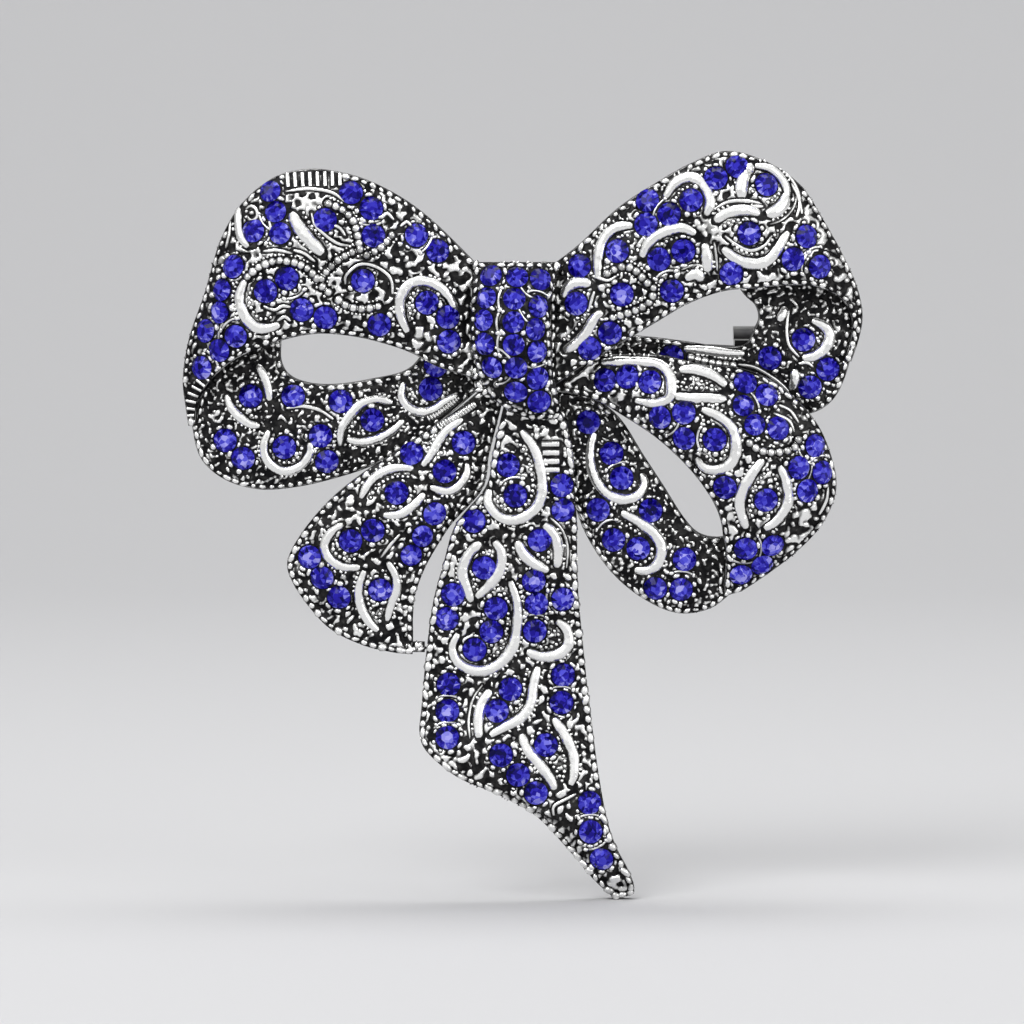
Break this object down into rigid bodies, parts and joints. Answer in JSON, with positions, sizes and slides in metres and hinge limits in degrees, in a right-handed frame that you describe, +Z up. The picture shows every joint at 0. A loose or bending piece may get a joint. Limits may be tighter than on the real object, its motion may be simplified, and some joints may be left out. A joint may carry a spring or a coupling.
{
  "type": "ribbon bow brooch",
  "caption": "Cast ribbon bow brooch with looped bands, long tails, set round stones and a hinged pin stem with a turning safety catch",
  "frame": {"origin": "the point on the pin stem's axis straight behind the centre line of the knot", "axes": "+X runs along the closed pin stem to the catch, the viewer's right; +Z is up as worn; the front faces -Y and the wearer's cloth is at +Y"},
  "size_m": [0.061, 0.0149, 0.0673],
  "materials": {
    "antique_silver": "cast and silver plated, dark antique patina in the hollows, bright on the raised work",
    "blue_stones": "faceted, foiled at the back",
    "plated_fittings": "silver plated, smooth",
    "steel_pin": "drawn wire, polished"
  },
  "bodies": {
    "brooch": {"knot": "antique_silver", "left_loop": "antique_silver", "right_upper_loop": "antique_silver", "right_lower_loop": "antique_silver", "left_tail": "antique_silver", "centre_tail": "antique_silver", "left_loop_front_stones": "blue_stones", "left_loop_rear_stones": "blue_stones", "right_upper_front_stones": "blue_stones", "right_upper_rear_stones": "blue_stones", "right_lower_front_stones": "blue_stones", "right_lower_rear_stones": "blue_stones", "left_tail_stones": "blue_stones", "centre_tail_stones": "blue_stones", "knot_stones": "blue_stones", "hinge_bracket": "plated_fittings", "hinge_rivet": "steel_pin", "catch_housing": "plated_fittings"},
    "pin": {"pin_stem": "steel_pin"},
    "rotor": {"catch_rotor": "plated_fittings"}
  },
  "joints": [
    {"name": "pin_hinge", "type": "hinge", "parent": "brooch", "child": "pin", "pos_m": [-0.0055, 0, 0], "axis": [0, 0, 1], "range_deg": [0, 105]},
    {"name": "catch_turn", "type": "hinge", "parent": "brooch", "child": "rotor", "pos_m": [0.0209, 0, 0], "axis": [1, 0, 0], "range_deg": [0, 90]}
  ]
}
